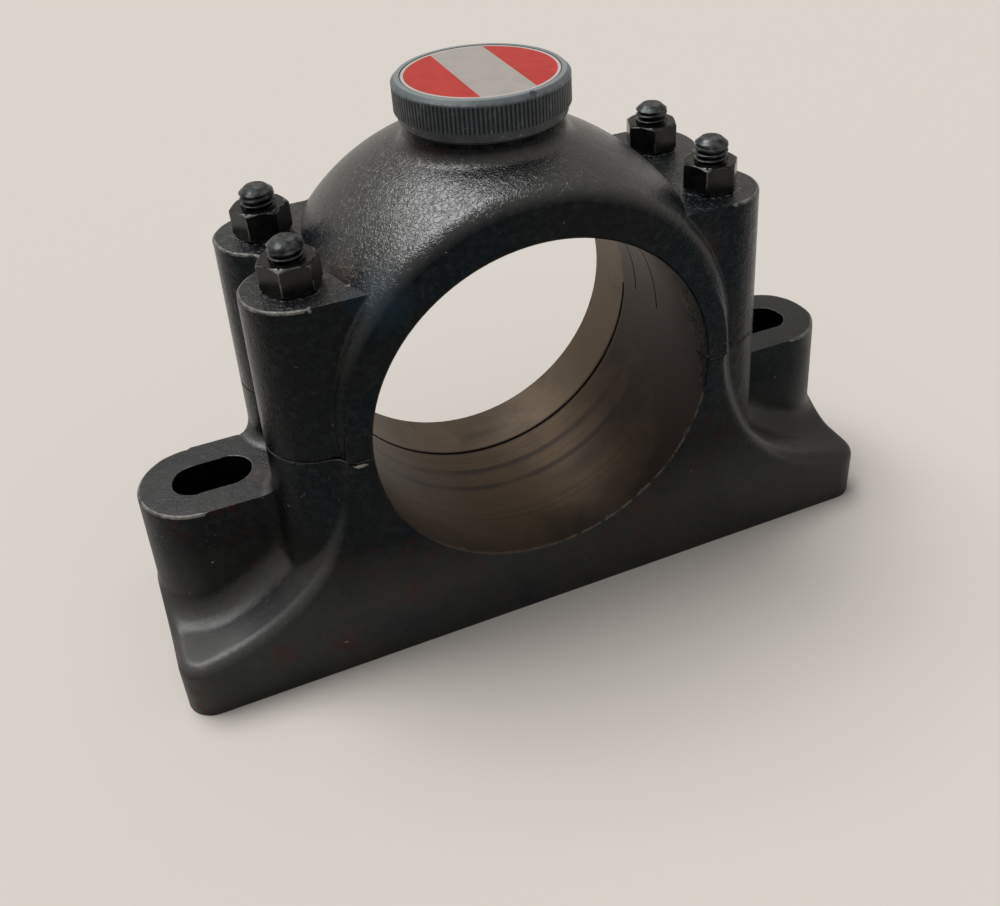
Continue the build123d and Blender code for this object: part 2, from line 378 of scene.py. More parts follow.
def rims_of(form):
    """The rims at the pads, the bosses and the slots, once the pads are cut at their cusps."""
    for side in (-1, 1):
        beside = once(f for e in corner_edges(form, pad_z) for f in e.link_faces)
        cut(form, beside, (side * cusp_x, 0, 0), (1, 0, 0))
    pads = [e for e in corner_edges(form, pad_z)
            if from_stud(middle(e)) > stud_margin and abs(middle(e).x) > cusp_x]
    on_bosses = corner_edges(form, boss_z)
    bosses = [e for e in on_bosses if from_slot(middle(e)) > boss_margin]
    slots = [e for e in on_bosses if from_slot(middle(e)) < boss_margin]
    return pads, bosses, slots


def casting(node):
    """A casting with fettled, rounded rims, narrow bevels at the joint and a crisp bore."""
    form = merged_copy(node)
    wear = form.faces.layers.float.new("rim_wear")
    at_joint = [e for e in corner_edges(form, joint_z)
                if from_bore_axis(middle(e)) > bore_radius + bore_margin
                and from_stud(middle(e)) > stud_margin and from_dowel(middle(e)) > dowel_margin]
    count = soften(form, at_joint, joint_rim, wear, joint_wear)
    pads, bosses, slots = rims_of(form)
    for edges, amount, width, worn in ((pads, pad_wave, cast_rim, 1.0),
                                       (bosses, boss_wave, cast_rim, 1.0),
                                       (slots, slot_wave, slot_rim, slot_wear)):
        edges = [e for e in edges if e.is_valid]
        if not edges:
            continue
        walls = once(f for e in edges for f in e.link_faces if abs(f.normal.z) < 0.5)
        just_below = edges[0].verts[0].co - Vector((0, 0, strip))
        divided(form, cut(form, walls, just_below, (0, 0, 1)))
        edges = divided(form, [e for e in edges if e.is_valid])
        fettle(edges, amount)
        count += soften(form, edges, width, wear, worn)
    many_sided = [f for f in form.faces if len(f.verts) > 4]
    bmesh.ops.triangulate(form, faces=many_sided, quad_method="BEAUTY", ngon_method="BEAUTY")
    print(node, "rims:", len(pads), len(bosses), len(slots), "rounded faces:", count)
    return form


base_form = casting("base")
cap_form = casting("cap")

# %% Turn a form into a piece, and give a solid a finish
crease_angle = radians(40)


def finished_piece(form, name, body, nodes, material):
    """Turns a bmesh into a piece that rides on a body and stands for the given solids."""
    for edge in form.edges:
        edge.smooth = not (edge.is_manifold and edge.calc_face_angle() > crease_angle)
    for face in form.faces:
        face.smooth = True
    mesh = bpy.data.meshes.new(name)
    form.to_mesh(mesh)
    form.free()
    mesh.materials.append(material)
    piece = bpy.data.objects.new(name, mesh)
    scene.collection.objects.link(piece)
    even = piece.modifiers.new("even_shading", "WEIGHTED_NORMAL")
    even.keep_sharp = True
    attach(piece, body)
    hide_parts(*nodes)
    print(name, "faces:", len(mesh.polygons))


def coat(node, material):
    """Gives a loaded solid a new finish and leaves its mesh alone."""
    solids[node].data.materials.clear()
    solids[node].data.materials.append(material)


print("edges sharper than", round(crease_angle / radians(1)), "degrees stay crisp")

# %% [markdown]
# ## Slate enamel over sand-cast iron
# The housing is grey iron cast in sand and brushed with a dark slate enamel. The sand leaves
# a fine wormy grain about a millimetre across, which the glossy paint follows, so the sheen
# breaks into sparkles. The bore is bare iron, turned to size after casting. Two materials
# could be assigned face by face, but the paint ends raggedly inside the bore, so one material
# carries both, and the distance from the bore's axis decides between them. Every pattern
# reads the object's own coordinates, so nothing needs unwrapping.

# %% Enamel: where things are
enamel, tree, shader, place = new_material("slate_enamel_on_sand_cast_iron")
axes_split = add(tree, "SeparateXYZ", {"Vector": place}).node
x, y, z = (axes_split.outputs[name] for name in "XYZ")
height = add(tree, "Math", {0: z, 1: joint_z}, operation="SUBTRACT")
across = add(tree, "Math", {0: x}, operation="ABSOLUTE")
flat_x = add(tree, "CombineXYZ", {"X": x, "Y": height})
from_axis = add(tree, "VectorMath", {0: flat_x}, out=1, operation="LENGTH")
ragged = add(tree, "TexNoise", {"Vector": place, "Scale": per_metre(4.5455), "Detail": 4.0,
                                "Roughness": 0.6})
patches = add(tree, "TexNoise", {"Vector": place, "Scale": per_metre(38.462), "Detail": 3.0,
                                 "Roughness": 0.55})
print("nodes that say where things are:", len(tree.nodes))

# %% [markdown]
# ## The colour of the paint
# Brushed enamel is bluer where it is thick and blacker where it is thin. A brown film lies
# low on the front, where the block was wiped with oily rags, and grease has run down from
# the plug. Such layers could be painted by hand on an unwrapped map. Here each one is a mask,
# noise times a ramp in height, and a Mix node lays its colour over what is there already.

# %% Enamel: paint, film and grease
film_share, grease_share = 0.8, 0.5
tone = add(tree, "MapRange", {"Value": patches, "From Min": 0.40, "From Max": 0.60})
paint = add(tree, "Mix", {0: tone, 6: linear("#0a1419"), 7: linear("#121616")}, **COLOUR)

film = add(tree, "TexNoise", {"Vector": place, "Scale": per_metre(16.667), "Detail": 5.0,
                              "Roughness": 0.6})
film = add(tree, "MapRange", {"Value": film, "From Min": 0.38, "From Max": 0.62})
film_low = add(tree, "MapRange", {"Value": z, "From Min": 0.85 * joint_z,
                                  "From Max": 0.2 * joint_z})
for mask in (film_low, film_share):
    film = add(tree, "Math", {0: film, 1: mask}, operation="MULTIPLY")
paint = add(tree, "Mix", {0: film, 6: paint, 7: linear("#292823")}, **COLOUR)

# The streaks of grease are about 6 mm wide and 40 mm long.
runs = (per_metre(6.25), per_metre(6.25), per_metre(40))
grease = add(tree, "Mapping", {"Vector": place, "Scale": runs})
grease = add(tree, "TexNoise", {"Vector": grease, "Scale": 1.0, "Detail": 4.0})
grease = add(tree, "MapRange", {"Value": grease, "From Min": 0.48, "From Max": 0.68})
near_neck = add(tree, "MapRange", {"Value": z, "From Min": neck_z - 9 * MM,
                                   "From Max": neck_z - 2 * MM})
for mask in (near_neck, grease_share):
    grease = add(tree, "Math", {0: grease, 1: mask}, operation="MULTIPLY")
paint = add(tree, "Mix", {0: grease, 6: paint, 7: linear("#2a1f1b")}, **COLOUR)
print("nodes with the paint's colour:", len(tree.nodes))

# %% [markdown]
# ## Stains, mottling and rust
# Some marks have their own place: thick blue paint beside a pad, grease in the valleys, and
# spots on the foot where rust has come through. A mark could be a decal on its own patch of
# mesh, which would have to follow every curve. The distance from a point, with noise added
# to it, gives the same soft, ragged patch without one, and a table holds places and sizes.

# %% Enamel: stains
# Each stain has a place and a reach in millimetres, how much of the paint it hides, and a
# colour. In turn: thick blue paint beside the front left pad, then grease in the valley
# behind that, on the left boss beside the column, on the neck and on the right shoulder.
STAINS = (((-43, -33.5, 118.5), 10, 0.8, "#142a3a"), ((-49.5, -19, 119.5), 8, 1.0, "#30261f"),
          ((-76.5, -5, 55.5), 7, 0.8, "#332a23"), ((-22, -10, 145), 9, 0.6, "#2c1d18"),
          ((50, -30, 108), 9, 0.5, "#2e221d"))
# Noise adds up to this many millimetres to each distance, and half of that on average.
stain_fray = 8
stained = 0.0
for spot, reach, share, hue in STAINS:
    stain = add(tree, "VectorMath", {0: place, 1: Vector(spot) * MM}, out=1,
                operation="DISTANCE")
    stain = add(tree, "Math", {0: ragged, 1: stain_fray * MM, 2: stain},
                operation="MULTIPLY_ADD")
    stain = add(tree, "MapRange", {"Value": stain, "From Min": (reach + stain_fray / 2) * MM,
                                   "From Max": (reach / 3 + stain_fray / 2) * MM,
                                   "To Max": share})
    paint = add(tree, "Mix", {0: stain, 6: paint, 7: linear(hue)}, **COLOUR)
    stained = add(tree, "Math", {0: stained, 1: stain}, operation="MAXIMUM")

# A painted shadow turns the top of the neck black, for the dark gap under the gasket.
neck_gap_shade = add(tree, "MapRange", {"Value": z, "From Min": neck_z - 1.6 * MM,
                                   "From Max": neck_z - 1.1 * MM})
paint = add(tree, "Mix", {0: neck_gap_shade, 6: paint, 7: linear("#030303")}, **COLOUR)
print("stains:", len(STAINS))

# %% Enamel: mottling and rust
# Handling has left the paint unevenly dull, in touches two or three millimetres across.
mottle = add(tree, "TexNoise", {"Vector": place, "Scale": per_metre(2.381), "Detail": 4.0,
                                "Roughness": 0.7})
mottle = add(tree, "MapRange", {"Value": mottle, "From Min": 0.48, "From Max": 0.66,
                                "To Max": 0.6})
paint = add(tree, "Mix", {0: mottle, 6: paint, 7: linear("#22282a")}, **COLOUR)

# Rust comes through below the joint, in loose clusters of spots about 5 mm across.
spots = add(tree, "TexNoise", {"Vector": place, "Scale": per_metre(5.2632), "Detail": 5.0,
                               "Roughness": 0.7})
spots = add(tree, "MapRange", {"Value": spots, "From Min": 0.52, "From Max": 0.68})
clusters = add(tree, "TexNoise", {"Vector": place, "Scale": per_metre(29.412), "Detail": 1.0})
clusters = add(tree, "MapRange", {"Value": clusters, "From Min": 0.46, "From Max": 0.60})
low = add(tree, "MapRange", {"Value": z, "From Min": joint_z, "From Max": 0.6 * joint_z})
rust = spots
for mask in (clusters, low):
    rust = add(tree, "Math", {0: rust, 1: mask}, operation="MULTIPLY")

# Six stronger spots have a place and a reach in millimetres. Two noises pull their edges out.
RUST_SPOTS = (((-56, -36.7, 33), 1.5), ((-66, -36.7, 10), 4), ((-45, -36.7, 20), 2),
              ((29, -36.7, 26), 3), ((-18, -36.7, 8), 2), ((-84, -36.7, 14), 3))
for spot, reach in RUST_SPOTS:
    near = add(tree, "VectorMath", {0: place, 1: Vector(spot) * MM}, out=1,
               operation="DISTANCE")
    for fray, pull in ((spots, -5 * MM), (ragged, -16 * MM)):
        near = add(tree, "Math", {0: fray, 1: pull, 2: near}, operation="MULTIPLY_ADD")
    near = add(tree, "MapRange", {"Value": near, "From Min": (reach - 7.0) * MM,
                                  "From Max": (reach - 10.5) * MM, "To Max": 0.7})
    rust = add(tree, "Math", {0: rust, 1: near}, operation="MAXIMUM")
paint = add(tree, "Mix", {0: rust, 6: paint, 7: linear("#35160f")}, **COLOUR)
print("strong rust spots:", len(RUST_SPOTS))

# %% [markdown]
# ## Flecks, chips and rubbed rims
# Crumbs of pale dust cling to the paint, chips show the primer, and rims are rubbed thin. The
# rims could be found by how sharply the surface turns there, but that mask only shows in one
# renderer and on dense meshes. The bevels marked their faces with an attribute when they were
# made, so the attribute says where a rim is, and noise breaks the wear into patches.

# %% Enamel: flecks and crumbs
# Flecks are under a millimetre across, in loose groups.
crumbs = add(tree, "TexNoise", {"Vector": place, "Scale": per_metre(1.3158), "Detail": 3.0,
                                "Roughness": 0.6})
groups = add(tree, "TexNoise", {"Vector": place, "Scale": per_metre(13.333), "Detail": 2.0})
groups = add(tree, "MapRange", {"Value": groups, "From Min": 0.50, "From Max": 0.72})
fleck = add(tree, "Math", {0: groups, 1: 0.10, 2: crumbs}, operation="MULTIPLY_ADD")
fleck = add(tree, "MapRange", {"Value": fleck, "From Min": 0.76, "From Max": 0.80})

# Crumbs also gather in a ring round the foot of each nut.
ring_radius = 8.3 * MM
off_x = add(tree, "Math", {0: across, 1: stud_x}, operation="SUBTRACT")
off_y = add(tree, "Math", {0: y}, operation="ABSOLUTE")
off_y = add(tree, "Math", {0: off_y, 1: stud_y}, operation="SUBTRACT")
off_stud = add(tree, "CombineXYZ", {"X": off_x, "Y": off_y})
off_stud = add(tree, "VectorMath", {0: off_stud}, out=1, operation="LENGTH")
collar = add(tree, "Math", {0: off_stud, 1: ring_radius}, operation="SUBTRACT")
collar = add(tree, "Math", {0: collar}, operation="ABSOLUTE")
collar = add(tree, "MapRange", {"Value": collar, "From Min": 0.9 * MM, "From Max": 0.2 * MM})
on_pad = add(tree, "Math", {0: z, 1: pad_z - 0.2 * MM}, operation="GREATER_THAN")
loose = add(tree, "MapRange", {"Value": crumbs, "From Min": 0.50, "From Max": 0.62})
for mask in (on_pad, loose):
    collar = add(tree, "Math", {0: collar, 1: mask}, operation="MULTIPLY")
fleck = add(tree, "Math", {0: fleck, 1: collar}, operation="MAXIMUM")
paint = add(tree, "Mix", {0: fleck, 6: paint, 7: linear("#6f6d67")}, **COLOUR)
print("rings of crumbs have a radius of", ring_radius / MM, "mm")

# %% Enamel: chips and rubbed rims
# Each chip has a place and a reach in millimetres, and says how many times wider than high
# it is. The first lies along the joint.
CHIPS = (((-54.8, -36.7, 71.7), 2.4, 4.0), ((-60.1, -31.2, 118.4), 0.9, 1),
         ((-97.0, -16.6, 37.8), 0.6, 1), ((-74.0, -25.3, 56.8), 0.5, 1),
         ((-67.5, -36.7, 11.0), 0.8, 1), ((-48.3, -24.5, 118.7), 0.8, 1))
chip = 0.0
for spot, reach, stretch in CHIPS:
    off = add(tree, "VectorMath", {0: place, 1: Vector(spot) * MM}, operation="SUBTRACT")
    off = add(tree, "VectorMath", {0: off, 1: (1, 1, stretch)}, operation="MULTIPLY")
    off = add(tree, "VectorMath", {0: off}, out=1, operation="LENGTH")
    off = add(tree, "Math", {0: crumbs, 1: -5.0 * MM, 2: off}, operation="MULTIPLY_ADD")
    off = add(tree, "MapRange", {"Value": off, "From Min": (reach - 2.6) * MM,
                                 "From Max": (reach - 3.3) * MM})
    chip = add(tree, "Math", {0: chip, 1: off}, operation="MAXIMUM")
paint = add(tree, "Mix", {0: chip, 6: paint, 7: linear("#7d7a73")}, **COLOUR)

rim = add(tree, "Attribute", out="Fac", attribute_name="rim_wear")
chafe = add(tree, "TexNoise", {"Vector": place, "Scale": per_metre(3.8462), "Detail": 5.0,
                               "Roughness": 0.7})
chafe = add(tree, "MapRange", {"Value": chafe, "From Min": 0.40, "From Max": 0.56})
chafe = add(tree, "Math", {0: chafe, 1: rim}, operation="MULTIPLY")
paint = add(tree, "Mix", {0: chafe, 6: paint, 7: linear("#6b6a64")}, **COLOUR)
print("chips:", len(CHIPS))

# %% [markdown]
# ## Where the paint ends
# Paint never bridged the joint, it strayed a few millimetres into the front of the bore, and
# the underside was milled flat and left bare. These borders could be cut into the mesh, but a
# brushed edge is ragged at a scale that would need thousands of faces. Each is a distance
# with noise added, so it wanders, and a narrow MapRange keeps it crisp.

# %% Enamel: the seam and the bare iron
# The seam is a dark, slightly ragged line about 1 mm wide.
seam = add(tree, "Math", {0: height}, operation="ABSOLUTE")
seam = add(tree, "Math", {0: ragged, 1: -1.6 * MM, 2: seam}, operation="MULTIPLY_ADD")
seam = add(tree, "MapRange", {"Value": seam, "From Min": -0.12 * MM, "From Max": -0.40 * MM})
paint = add(tree, "Mix", {0: seam, 6: paint, 7: linear("#040404")}, **COLOUR)

# Paint lies deepest in the bore high on the right of its front, and hardly at its back.
front_paint, extra_paint, wander = -2.8 * MM, 11 * MM, 6 * MM
from_front = add(tree, "Math", {0: y, 1: half_depth}, operation="ADD")
from_rear = add(tree, "Math", {0: half_depth, 1: y}, operation="SUBTRACT")
smear = add(tree, "MapRange", {"Value": x, "From Min": 12 * MM, "From Max": 38 * MM})
smear_high = add(tree, "MapRange", {"Value": height, "From Min": -12 * MM,
                                    "From Max": 12 * MM})
smear = add(tree, "Math", {0: smear, 1: smear_high}, operation="MULTIPLY")
smear = add(tree, "Math", {0: smear, 1: extra_paint, 2: front_paint},
            operation="MULTIPLY_ADD")
smear = add(tree, "Math", {0: ragged, 1: wander, 2: smear}, operation="MULTIPLY_ADD")
front = add(tree, "Math", {0: from_front, 1: smear}, operation="SUBTRACT")
front = add(tree, "MapRange", {"Value": front, "From Min": 0.2 * MM, "From Max": -0.8 * MM})
rear = add(tree, "Math", {0: ragged, 1: -4 * MM, 2: from_rear}, operation="MULTIPLY_ADD")
rear = add(tree, "MapRange", {"Value": rear, "From Min": -1.4 * MM, "From Max": -1.9 * MM})
strayed = add(tree, "Math", {0: front, 1: rear}, operation="MAXIMUM")

inside = add(tree, "MapRange", {"Value": from_axis, "From Min": bore_radius + 0.6 * MM,
                                "From Max": bore_radius + 0.55 * MM})
bore = add(tree, "Math", {0: inside, 1: strayed}, operation="SUBTRACT", use_clamp=True)
under = add(tree, "Math", {0: z, 1: 0.2 * MM}, operation="LESS_THAN")
bare = add(tree, "Math", {0: bore, 1: under}, operation="MAXIMUM")
print("nodes with the borders of the paint:", len(tree.nodes))

# %% [markdown]
# ## The turned bore
# A bearing sat here, so the iron is bare, brown and oily, with rings left by the tool, two
# soft bands that the bearing burnished, and dried oil. Painted shade darkens its right side,
# its front and the iron along the groove, and a painted highlight lies on the front lip. An
# anisotropic shader could draw the streaks of light on turned metal, but an exported model
# loses it. Noise that is squeezed along the bore's axis makes rings in colour and relief
# instead. Real rings are a few tenths of a millimetre apart, too fine to show, so they are
# drawn about 1.4 mm apart with finer ones between.

# %% Enamel: rings, land and bands of the bore
land_start, land_share = 16.0 * MM, 0.7
squeezed = (per_metre(111.11), per_metre(1.4286), per_metre(111.11))
rings = add(tree, "Mapping", {"Vector": place, "Scale": squeezed})
rings = add(tree, "TexNoise", {"Vector": rings, "Scale": 1.0, "Detail": 4.0,
                               "Roughness": 0.6})
rings = add(tree, "MapRange", {"Value": rings, "From Min": 0.3, "From Max": 0.7})
iron = add(tree, "Mix", {0: rings, 6: linear("#40301f"), 7: linear("#50402b")}, **COLOUR)

# The land behind the groove is drawn paler.
land = add(tree, "MapRange", {"Value": y, "From Min": land_start,
                              "From Max": land_start + 0.8 * MM, "To Max": land_share})
iron = add(tree, "Mix", {0: land, 6: iron, 7: linear("#5f5242")}, **COLOUR)

# Folding the distance from the bands' middle line gives both bands from one mask.
bands_y, band_offset, band_share = 0.5 * MM, 4.5 * MM, 0.9
band = y
for centre in (bands_y, band_offset):
    band = add(tree, "Math", {0: band, 1: centre}, operation="SUBTRACT")
    band = add(tree, "Math", {0: band}, operation="ABSOLUTE")
band = add(tree, "MapRange", {"Value": band, "From Min": 2.0 * MM, "From Max": 0.3 * MM},
           interpolation_type="SMOOTHSTEP")
lower = add(tree, "MapRange", {"Value": height, "From Min": -8 * MM, "From Max": -30 * MM})
worn_part = add(tree, "TexNoise", {"Vector": place, "Scale": per_metre(33.333),
                                   "Detail": 2.0})
worn_part = add(tree, "MapRange", {"Value": worn_part, "From Min": 0.30, "From Max": 0.5})
for mask in (lower, worn_part, band_share):
    band = add(tree, "Math", {0: band, 1: mask}, operation="MULTIPLY")
iron = add(tree, "Mix", {0: band, 6: iron, 7: linear("#1e0f06")}, **COLOUR)
print("bands at", (bands_y - band_offset) / MM, "and", (bands_y + band_offset) / MM, "mm")

# %% Enamel: dried oil and painted shade in the bore
# Dried oil lies in patches. Painted shade darkens the right side before the land, and the
# front edge.
oil = add(tree, "TexNoise", {"Vector": place, "Scale": per_metre(29.412), "Detail": 5.0,
                             "Roughness": 0.6, "Distortion": 0.5})
# Painted shade darkens the right side of the bore before the land, fading high and low.
right_shade = add(tree, "MapRange", {"Value": x, "From Min": 0.0, "From Max": 36 * MM})
before_land = add(tree, "MapRange", {"Value": y, "From Min": land_start + MM,
                                     "From Max": land_start - 2 * MM})
not_high = add(tree, "MapRange", {"Value": height, "From Min": 30 * MM, "From Max": 5 * MM,
                                  "To Min": 0.45, "To Max": 1.0})
not_low = add(tree, "MapRange", {"Value": height, "From Min": -46 * MM, "From Max": -24 * MM,
                                 "To Min": 0.3, "To Max": 1.0})
for mask in (before_land, not_high, not_low):
    right_shade = add(tree, "Math", {0: right_shade, 1: mask}, operation="MULTIPLY")
# Painted shade darkens the bore towards its front edge.
front_shade = add(tree, "MapRange", {"Value": from_front, "From Min": 16 * MM,
                                  "From Max": 1 * MM})
oil_and_shade = oil
for part, share in ((right_shade, 0.42), (front_shade, 0.16)):
    oil_and_shade = add(tree, "Math", {0: part, 1: share, 2: oil_and_shade}, operation="MULTIPLY_ADD")
oil_and_shade = add(tree, "MapRange", {"Value": oil_and_shade, "From Min": 0.48, "From Max": 0.84})

# A painted shadow darkens the iron along the groove before the land, most of all low in the
# bore.
groove_y = land_start + 0.3 * MM
groove_shade = add(tree, "Math", {0: y, 1: groove_y}, operation="SUBTRACT")
groove_shade = add(tree, "Math", {0: groove_shade}, operation="ABSOLUTE")
groove_shade = add(tree, "MapRange", {"Value": groove_shade, "From Min": 1.7 * MM,
                                   "From Max": 0.6 * MM, "To Max": 0.8},
                interpolation_type="SMOOTHSTEP")
groove_low = add(tree, "MapRange", {"Value": height, "From Min": 10 * MM,
                                    "From Max": -20 * MM, "To Min": 0.2, "To Max": 1.0})
groove_shade = add(tree, "Math", {0: groove_shade, 1: groove_low}, operation="MULTIPLY")
oil_and_shade = add(tree, "Math", {0: oil_and_shade, 1: groove_shade}, operation="MAXIMUM")
iron = add(tree, "Mix", {0: oil_and_shade, 6: iron, 7: linear("#22130a")}, **COLOUR)
print("groove at", round(groove_y / MM, 1), "mm")

# %% Enamel: the bore's lip and the underside
# A painted highlight lies in places along the lip at the front, on its right side. The milled
# underside is bright iron with darker patches.
lip_highlight_share = 0.7
lip_highlight = add(tree, "MapRange", {"Value": from_axis, "From Min": bore_radius + 0.08 * MM,
                             "From Max": bore_radius + 0.2 * MM})
lip_highlight_part = add(tree, "MapRange", {"Value": ragged, "From Min": 0.42, "From Max": 0.55})
lip_highlight_right = add(tree, "MapRange", {"Value": x, "From Min": -5 * MM, "From Max": 12 * MM})
for mask in (lip_highlight_part, lip_highlight_right, lip_highlight_share):
    lip_highlight = add(tree, "Math", {0: lip_highlight, 1: mask}, operation="MULTIPLY")
iron = add(tree, "Mix", {0: lip_highlight, 6: iron, 7: linear("#7a7266")}, **COLOUR)
milled = add(tree, "Mix", {0: ragged, 6: linear("#4a443d"), 7: linear("#7b7770")}, **COLOUR)
iron = add(tree, "Mix", {0: under, 6: iron, 7: milled}, **COLOUR)
print("nodes with the bare iron:", len(tree.nodes))

# %% [markdown]
# ## Grain and gloss
# Sand prints in the iron as short wrinkles and shallow pits, and the paint rounds them off.
# Columns and dome are rough, the foot below is smoother. Real relief would need millions of
# faces, so a Bump node tilts the light by the height of three noises. Where the paint ran
# thin, on upright faces and on the right end, it sits on dark iron and takes on some of its
# metal, and a thin coat reflects less than a full one.

# %% Enamel: relief
# Wrinkles are about 1 mm wide, bent ones 2 mm, and pits 4 mm.
bump_height = 0.17 * MM
grain = add(tree, "TexNoise", {"Vector": place, "Scale": per_metre(1.25), "Detail": 2.0,
                               "Distortion": 1.1})
worm = add(tree, "TexNoise", {"Vector": place, "Scale": per_metre(1.9231), "Detail": 1.0,
                              "Distortion": 2.0})
worm = add(tree, "Math", {0: worm, 1: 0.5}, operation="SUBTRACT")
worm = add(tree, "Math", {0: worm}, operation="ABSOLUTE")
worm = add(tree, "MapRange", {"Value": worm, "From Min": 0.10, "From Max": 0.0})
pits = add(tree, "TexNoise", {"Vector": place, "Scale": per_metre(4.1667), "Detail": 2.0})
relief = grain
for part, share in ((worm, 0.25), (pits, 0.9)):
    relief = add(tree, "Math", {0: part, 1: share, 2: relief}, operation="MULTIPLY_ADD")
rough_high = add(tree, "MapRange", {"Value": z, "From Min": 0.25 * joint_z,
                                    "From Max": 0.9 * joint_z, "To Min": 0.5, "To Max": 1.0})
smooth_boss = add(tree, "MapRange", {"Value": across, "From Min": 70 * MM,
                                     "From Max": 78 * MM, "To Min": 1.0, "To Max": 0.45})
for mask in (rough_high, smooth_boss):
    relief = add(tree, "Math", {0: relief, 1: mask}, operation="MULTIPLY")

# Worn rims, chips and the seam lie lower than the paint around them.
for part, depth in ((chafe, -0.5), (chip, -0.9), (seam, -2.5)):
    relief = add(tree, "Math", {0: part, 1: depth, 2: relief}, operation="MULTIPLY_ADD")
smooth_iron = add(tree, "Math", {0: rings, 1: 0.08}, operation="MULTIPLY")
relief = add(tree, "Mix", {0: bare, 2: relief, 3: smooth_iron})
normal = add(tree, "Bump", {"Height": relief, "Distance": bump_height, "Strength": 1.0})
print("bump height:", bump_height / MM, "mm")

# %% Enamel: gloss
# The enamel is glossy above and duller towards the foot, most of all under the brown film.
gloss = add(tree, "MapRange", {"Value": patches, "From Min": 0.35, "From Max": 0.65,
                               "To Min": 0.22, "To Max": 0.31})
low_down = add(tree, "MapRange", {"Value": z, "From Min": joint_z,
                                  "From Max": 0.6 * joint_z})
for part, duller in ((film, 0.12), (low_down, 0.17)):
    gloss = add(tree, "Math", {0: part, 1: duller, 2: gloss}, operation="MULTIPLY_ADD")
for part, roughness in ((chafe, 0.5), (rust, 0.6), (stained, 0.42), (bare, 0.46)):
    gloss = add(tree, "Mix", {0: part, 2: gloss, 3: roughness})

slope = add(tree, "NewGeometry", out="Normal")
slope = add(tree, "SeparateXYZ", {"Vector": slope}, out="Z")
upright = add(tree, "MapRange", {"Value": slope, "From Min": 0.7, "From Max": 0.2})
thinner_high = add(tree, "MapRange", {"Value": z, "From Min": 0.3 * joint_z,
                                      "From Max": 0.6 * joint_z, "To Min": 0.62,
                                      "To Max": 0.95})
thin = add(tree, "Math", {0: upright, 1: thinner_high}, operation="MULTIPLY")
flat_top = add(tree, "MapRange", {"Value": slope, "From Min": 0.955, "From Max": 0.99,
                                  "To Max": 0.35})
right_end = add(tree, "MapRange", {"Value": x, "From Min": 66 * MM, "From Max": 84 * MM,
                                   "To Max": 0.5})
for part in (flat_top, right_end):
    thin = add(tree, "Math", {0: thin, 1: part}, operation="MAXIMUM")
metal = add(tree, "Mix", {0: bare, 2: thin, 3: 0.7})
print("nodes in the whole enamel:", len(tree.nodes))

# %% Dress the castings
surface = add(tree, "Mix", {0: bare, 6: paint, 7: iron}, **COLOUR)
wire(tree, shader, {"Base Color": surface, "Metallic": metal, "Roughness": gloss,
                    "Normal": normal, "Specular IOR Level": 0.9})
finished_piece(base_form, "base_casting", "housing", ["base"], enamel)
finished_piece(cap_form, "cap_casting", "housing", ["cap"], enamel)

# %% [markdown]
# ## Studs with real threads
# Only the top few turns of each stud show above its nut, and there the crests catch the light.
# A bump pattern would leave the outline straight, so one turn of the thread's profile is spun
# upwards into a helix, cut level at both ends and turned down to a bevelled tip, where the
# groove runs out. It is a 3/8 inch coarse thread: sixteen turns to the inch.

# %% Spin a threaded stud
thread_pitch = 25.4 / 16 * MM
thread_height = 0.56 * thread_pitch
thread_steps = 32
crest_round = 0.1 * MM
tip_bevel, tip_slope = 1.8 * MM, 1.15
run_out = 1.3 * MM
thread_start = pad_z + 4 * MM
weld_distance = 0.001 * MM


def thread_turns(form, top_z):
    """Spins one turn's profile up to the top, and closes both ends flat."""
    root = stud_radius - thread_height
    first = thread_start - 2 * thread_pitch
    flank = stud_radius - crest_round
    profile = [(root, 0), (root, 0.22), (flank, 0.50), (stud_radius, 0.56),
               (stud_radius, 0.66), (flank, 0.72), (root, 1)]
    points = [form.verts.new((r, 0, first + share * thread_pitch)) for r, share in profile]
    line = [form.edges.new(pair) for pair in zip(points, points[1:])]
    turns = int((top_z - first) / thread_pitch) + 1
    bmesh.ops.spin(form, geom=points + line, axis=(0, 0, 1), cent=(0, 0, 0),
                   dvec=(0, 0, thread_pitch / thread_steps), angle=2 * pi * turns,
                   steps=thread_steps * turns, use_duplicate=False)
    bmesh.ops.remove_doubles(form, verts=form.verts, dist=weld_distance)
    for end_z, outward in ((thread_start, -1), (top_z, 1)):
        parts = form.verts[:] + form.edges[:] + form.faces[:]
        bmesh.ops.bisect_plane(form, geom=parts, plane_co=(0, 0, end_z),
                               plane_no=(0, 0, outward), clear_outer=True)
        bmesh.ops.holes_fill(form, edges=[e for e in form.edges if e.is_boundary], sides=0)


def turn_tip(form, top_z):
    """Lets the groove run out below the tip, and turns the tip down to a bevel."""
    for vert in form.verts:
        radius = Vector((vert.co.x, vert.co.y)).length
        below = max(0, top_z - vert.co.z)
        groove = (stud_radius - radius) * min(1, max(0, (below - run_out) / thread_pitch))
        wanted = min(stud_radius - groove, stud_radius - tip_bevel + tip_slope * below)
        vert.co.x *= wanted / radius
        vert.co.y *= wanted / radius


def threaded_stud(node):
    """A stud: a plain shank below, a spun thread above, and a bevelled tip."""
    low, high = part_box(node)
    form = bmesh.new()
    thread_turns(form, high.z)
    turn_tip(form, high.z)
    shank = thread_start - low.z
    shank_middle = Matrix.Translation((0, 0, low.z + shank / 2))
    bmesh.ops.create_cone(form, cap_ends=True, segments=thread_steps, radius1=stud_radius,
                          radius2=stud_radius, depth=shank, matrix=shank_middle)
    bmesh.ops.recalc_face_normals(form, faces=form.faces)
    axis = Vector(((low.x + high.x) / 2, (low.y + high.y) / 2, 0))
    bmesh.ops.translate(form, verts=form.verts, vec=axis)
    return form


print("thread pitch:", thread_pitch / MM, "mm")
